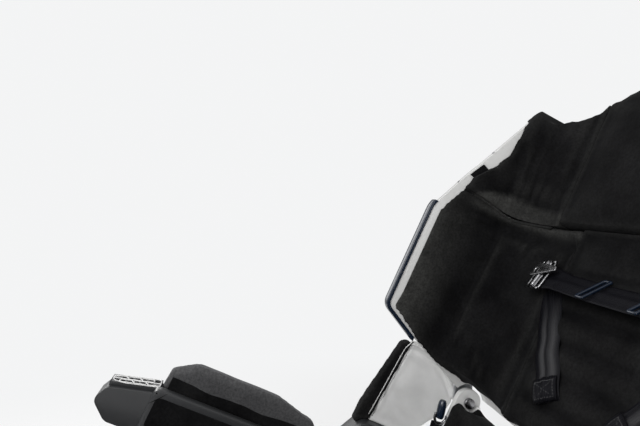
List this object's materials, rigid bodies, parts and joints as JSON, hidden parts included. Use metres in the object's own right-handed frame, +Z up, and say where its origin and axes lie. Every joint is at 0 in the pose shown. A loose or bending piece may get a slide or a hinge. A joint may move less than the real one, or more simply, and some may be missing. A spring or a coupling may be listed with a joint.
{
  "type": "spacecraft crew seat",
  "caption": "Reclined launch couch with deep winged back shell, black cushions, armrests with slotted ends, leg rest, foot plate and a tilting base on floor rails.",
  "frame": {"origin": "centre of the four floor bolts, on the underside of the rails, at floor level", "axes": "+Z up, the seat faces -Y, +X is the occupant's left"},
  "size_m": [0.69, 1.4166, 1.2198],
  "materials": {
    "white_shell": "painted composite",
    "black_suede": "suede cloth",
    "grey_suede": "suede cloth",
    "pale_grey_panel": "smooth",
    "dark_grey_moulding": "satin",
    "blue_black_gloss": "gloss",
    "frame_metal": "anodised",
    "rail_metal": "anodised",
    "bright_steel": "polished",
    "black_webbing": "woven"
  },
  "bodies": {
    "base": {"base_rail_left": "rail_metal", "base_rail_right": "rail_metal", "stanchion_left": "frame_metal", "stanchion_right": "frame_metal", "base_cross_front": "frame_metal", "base_cross_rear": "frame_metal"},
    "couch": {"pan_shell": "white_shell", "seat_pad": "black_suede", "pelvis_pad": "black_suede", "cradle": "frame_metal", "tilt_shaft": "bright_steel", "crotch_strap": "black_webbing", "harness_buckle": "bright_steel", "thigh_bolster_left": "black_suede", "thigh_bolster_right": "black_suede", "armrest_left": "dark_grey_moulding", "armrest_right": "dark_grey_moulding", "arm_ridge_left": "grey_suede", "arm_ridge_right": "grey_suede", "arm_grille_left": "dark_grey_moulding", "arm_grille_right": "dark_grey_moulding", "hip_panel_left": "pale_grey_panel", "hip_panel_right": "pale_grey_panel", "hip_edge_pad_left": "black_suede", "hip_edge_pad_right": "black_suede", "fold_bolt_left": "bright_steel", "fold_bolt_right": "bright_steel", "knee_pin_left": "bright_steel", "knee_pin_right": "bright_steel", "lap_belt_left": "black_webbing", "lap_belt_right": "black_webbing"},
    "back": {"back_shell": "white_shell", "back_pad": "black_suede", "head_pad": "black_suede", "harness_reel": "dark_grey_moulding", "chest_strap": "black_webbing", "bolster_left": "black_suede", "bolster_right": "black_suede", "head_wing_pad_left": "black_suede", "head_wing_pad_right": "black_suede", "rim_lip_left": "blue_black_gloss", "rim_lip_right": "blue_black_gloss", "hinge_arm_left": "frame_metal", "hinge_arm_right": "frame_metal", "back_upright_left": "frame_metal", "back_upright_right": "frame_metal", "shoulder_strap_left": "black_webbing", "shoulder_strap_right": "black_webbing", "strap_tongue_left": "bright_steel", "strap_tongue_right": "bright_steel"},
    "leg_rest": {"leg_shell": "white_shell", "calf_pad": "black_suede"},
    "foot_rest": {"foot_plate": "dark_grey_moulding", "heel_cup_left": "dark_grey_moulding", "heel_cup_right": "dark_grey_moulding"}
  },
  "joints": [
    {"name": "couch_tilt", "type": "hinge", "parent": "base", "child": "couch", "pos_m": [0, -0.15147, 0.30884], "axis": [-1, 0, 0], "range_deg": [-12, 25]},
    {"name": "back_fold", "type": "hinge", "parent": "couch", "child": "back", "pos_m": [0, 0.25713, 0.63356], "axis": [-1, 0, 0], "range_deg": [-8, 15]},
    {"name": "leg_extend", "type": "hinge", "parent": "couch", "child": "leg_rest", "pos_m": [0, -0.41273, 0.52762], "axis": [-1, 0, 0], "range_deg": [0, 60]},
    {"name": "foot_fold", "type": "hinge", "parent": "leg_rest", "child": "foot_rest", "pos_m": [0, -0.61516, 0.22865], "axis": [-1, 0, 0], "range_deg": [0, 75]}
  ]
}
